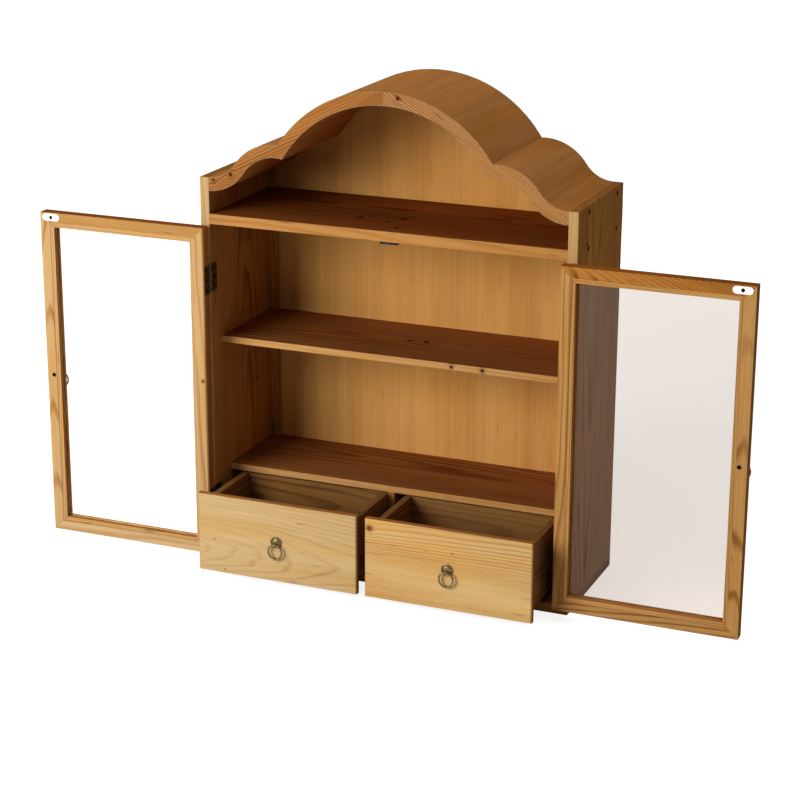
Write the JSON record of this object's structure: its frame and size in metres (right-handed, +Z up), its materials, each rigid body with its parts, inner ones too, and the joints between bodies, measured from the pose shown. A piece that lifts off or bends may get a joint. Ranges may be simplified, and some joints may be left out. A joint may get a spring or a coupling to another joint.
{
  "type": "wall cabinet",
  "caption": "Wooden wall cabinet with a cloud-shaped roof, inset glazed doors on butt hinges, display shelves and small drawers with ring pulls.",
  "frame": {"origin": "centre of the carcase's underside, on the face that it can stand on", "axes": "+Z up, +Y towards the wall behind the cabinet, +X to the right seen from the front"},
  "size_m": [0.9462, 0.2594, 0.6397],
  "materials": {
    "pine": "satin lacquer",
    "pine_board": "satin lacquer",
    "pine_drawer": "satin lacquer",
    "plywood": "satin lacquer",
    "veneer": "satin lacquer",
    "plug_wood": "satin lacquer",
    "glass": "clear",
    "bronze": "dark antique",
    "screw_steel": "black",
    "strike_steel": "zinc plated",
    "hanger_steel": "zinc plated",
    "black_plastic": "matt",
    "ferrite": "matt"
  },
  "bodies": {
    "carcase": {"left_side_panel": "pine_board", "right_side_panel": "pine_board", "bottom_panel": "pine_board", "top_shelf": "pine_board", "middle_shelf": "pine_board", "lower_shelf": "pine_board", "drawer_divider": "pine_board", "back_panel": "plywood", "left_rear_batten": "pine_board", "right_rear_batten": "pine_board", "left_roof_block": "pine", "right_roof_block": "pine", "roof_outer_skin": "veneer", "roof_inner_skin": "veneer", "left_drawer_runners": "pine_drawer", "right_drawer_runners": "pine_drawer", "carcase_screws": "screw_steel", "side_plugs": "plug_wood", "wall_hanger_plates": "hanger_steel", "catch_case": "black_plastic", "catch_magnets": "ferrite", "catch_pole_plates": "strike_steel", "side_hinge_leaves": "bronze", "hinge_and_hanger_screws": "screw_steel"},
    "left_door": {"left_door_hinge_stile": "pine", "left_door_free_stile": "pine", "left_door_bottom_rail": "pine", "left_door_top_rail": "pine", "left_door_glass": "glass", "left_door_beads": "pine", "left_door_hinge_leaves": "bronze", "left_door_screws": "screw_steel", "left_door_pull": "bronze", "left_strike_plate": "strike_steel", "left_hinge_pins": "bronze"},
    "left_door_ring": {"left_door_ring": "bronze"},
    "left_drawer": {"left_drawer_front": "pine_drawer", "left_drawer_sides": "pine_drawer", "left_drawer_back": "pine_drawer", "left_drawer_bottom": "plywood", "left_drawer_pull": "bronze"},
    "left_drawer_ring": {"left_drawer_ring": "bronze"},
    "right_door": {"right_door_hinge_stile": "pine", "right_door_free_stile": "pine", "right_door_bottom_rail": "pine", "right_door_top_rail": "pine", "right_door_glass": "glass", "right_door_beads": "pine", "right_door_hinge_leaves": "bronze", "right_door_screws": "screw_steel", "right_door_pull": "bronze", "right_strike_plate": "strike_steel", "right_hinge_pins": "bronze"},
    "right_door_ring": {"right_door_ring": "bronze"},
    "right_drawer": {"right_drawer_front": "pine_drawer", "right_drawer_sides": "pine_drawer", "right_drawer_back": "pine_drawer", "right_drawer_bottom": "plywood", "right_drawer_pull": "bronze"},
    "right_drawer_ring": {"right_drawer_ring": "bronze"}
  },
  "joints": [
    {"name": "left_drawer_slide", "type": "slide", "parent": "carcase", "child": "left_drawer", "axis": [0, 1, 0], "range_m": [0, 0.1067]},
    {"name": "left_door_swing", "type": "hinge", "parent": "carcase", "child": "left_door", "pos_m": [-0.23675, -0.09365, 0], "axis": [0, 0, 1], "range_deg": [0, 57]},
    {"name": "left_drawer_ring_swing", "type": "hinge", "parent": "left_drawer", "child": "left_drawer_ring", "pos_m": [-0.11655, -0.1656, 0.0645], "axis": [1, 0, 0], "range_deg": [-85, 6]},
    {"name": "left_door_ring_swing", "type": "hinge", "parent": "left_door", "child": "left_door_ring", "pos_m": [-0.4626, -0.0927, 0.2319], "axis": [-1, 0, 0], "range_deg": [-85, 6]},
    {"name": "right_drawer_slide", "type": "slide", "parent": "carcase", "child": "right_drawer", "axis": [0, 1, 0], "range_m": [0, 0.1067]},
    {"name": "right_door_swing", "type": "hinge", "parent": "carcase", "child": "right_door", "pos_m": [0.23675, -0.09365, 0], "axis": [0, 0, -1], "range_deg": [0, 57]},
    {"name": "right_drawer_ring_swing", "type": "hinge", "parent": "right_drawer", "child": "right_drawer_ring", "pos_m": [0.11655, -0.1656, 0.0645], "axis": [1, 0, 0], "range_deg": [-85, 6]},
    {"name": "right_door_ring_swing", "type": "hinge", "parent": "right_door", "child": "right_door_ring", "pos_m": [0.4626, -0.0927, 0.2319], "axis": [-1, 0, 0], "range_deg": [-85, 6]}
  ]
}
